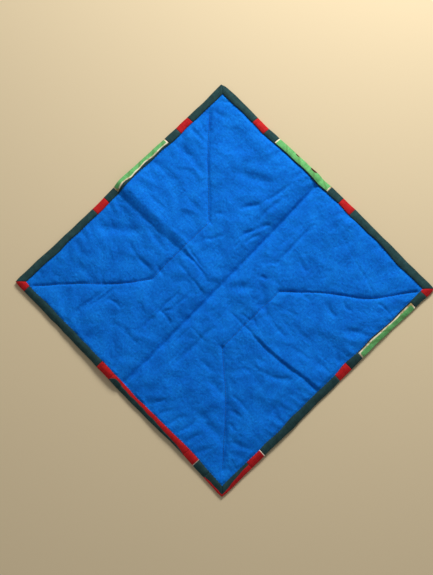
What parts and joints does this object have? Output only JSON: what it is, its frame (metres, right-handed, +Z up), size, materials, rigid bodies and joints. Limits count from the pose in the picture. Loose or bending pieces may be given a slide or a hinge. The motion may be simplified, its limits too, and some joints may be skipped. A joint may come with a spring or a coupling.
{
  "type": "quilted mat",
  "caption": "Flat square quilted cotton mat with a plain back, wadding, a bordered centre-panel front and a patchwork binding mitred at the corners.",
  "frame": {"origin": "middle of the underside, on the surface that the mat lies on", "axes": "+Z up, out of the plain back; +X and +Y along two sides of the square"},
  "size_m": [0.38, 0.38, 0.005],
  "materials": {
    "blue_cotton": "washed plain-weave cotton, matt",
    "bottle_green_cotton": "plain-weave cotton, matt",
    "red_cotton": "plain-weave cotton, matt",
    "leaf_green_cotton": "plain-weave cotton with a cream edge to the print, matt",
    "wadding": "soft bonded fibre",
    "quilting_thread": "spun sewing thread",
    "binding_thread": "spun sewing thread"
  },
  "bodies": {
    "root": {"backing_cloth": "blue_cotton", "binding_front_1_red": "red_cotton", "binding_front_2_bottle_green": "bottle_green_cotton", "binding_front_3_red": "red_cotton", "binding_front_4_bottle_green": "bottle_green_cotton", "binding_front_5_bottle_green": "bottle_green_cotton", "binding_front_6_red": "red_cotton", "binding_hem_thread": "binding_thread", "binding_left_1_bottle_green": "bottle_green_cotton", "binding_left_2_red": "red_cotton", "binding_left_3_bottle_green": "bottle_green_cotton", "binding_left_4_leaf_green": "leaf_green_cotton", "binding_left_5_bottle_green": "bottle_green_cotton", "binding_left_6_bottle_green": "bottle_green_cotton", "binding_left_7_red": "red_cotton", "binding_left_8_bottle_green": "bottle_green_cotton", "binding_rear_1_bottle_green": "bottle_green_cotton", "binding_rear_2_red": "red_cotton", "binding_rear_3_bottle_green": "bottle_green_cotton", "binding_rear_4_leaf_green": "leaf_green_cotton", "binding_rear_5_bottle_green": "bottle_green_cotton", "binding_rear_6_red": "red_cotton", "binding_rear_7_bottle_green": "bottle_green_cotton", "binding_right_1_red": "red_cotton", "binding_right_2_bottle_green": "bottle_green_cotton", "binding_right_3_leaf_green": "leaf_green_cotton", "binding_right_4_bottle_green": "bottle_green_cotton", "binding_right_5_red": "red_cotton", "binding_right_6_bottle_green": "bottle_green_cotton", "binding_right_7_red": "red_cotton", "binding_right_8_bottle_green": "bottle_green_cotton", "binding_seam_thread": "binding_thread", "bobbin_thread_left": "quilting_thread", "bobbin_thread_right": "quilting_thread", "front_border_front": "red_cotton", "front_border_left": "bottle_green_cotton", "front_border_rear": "red_cotton", "front_border_right": "bottle_green_cotton", "front_centre_panel": "leaf_green_cotton", "needle_thread_left": "quilting_thread", "needle_thread_right": "quilting_thread", "wadding": "wadding"}
  },
  "joints": []
}
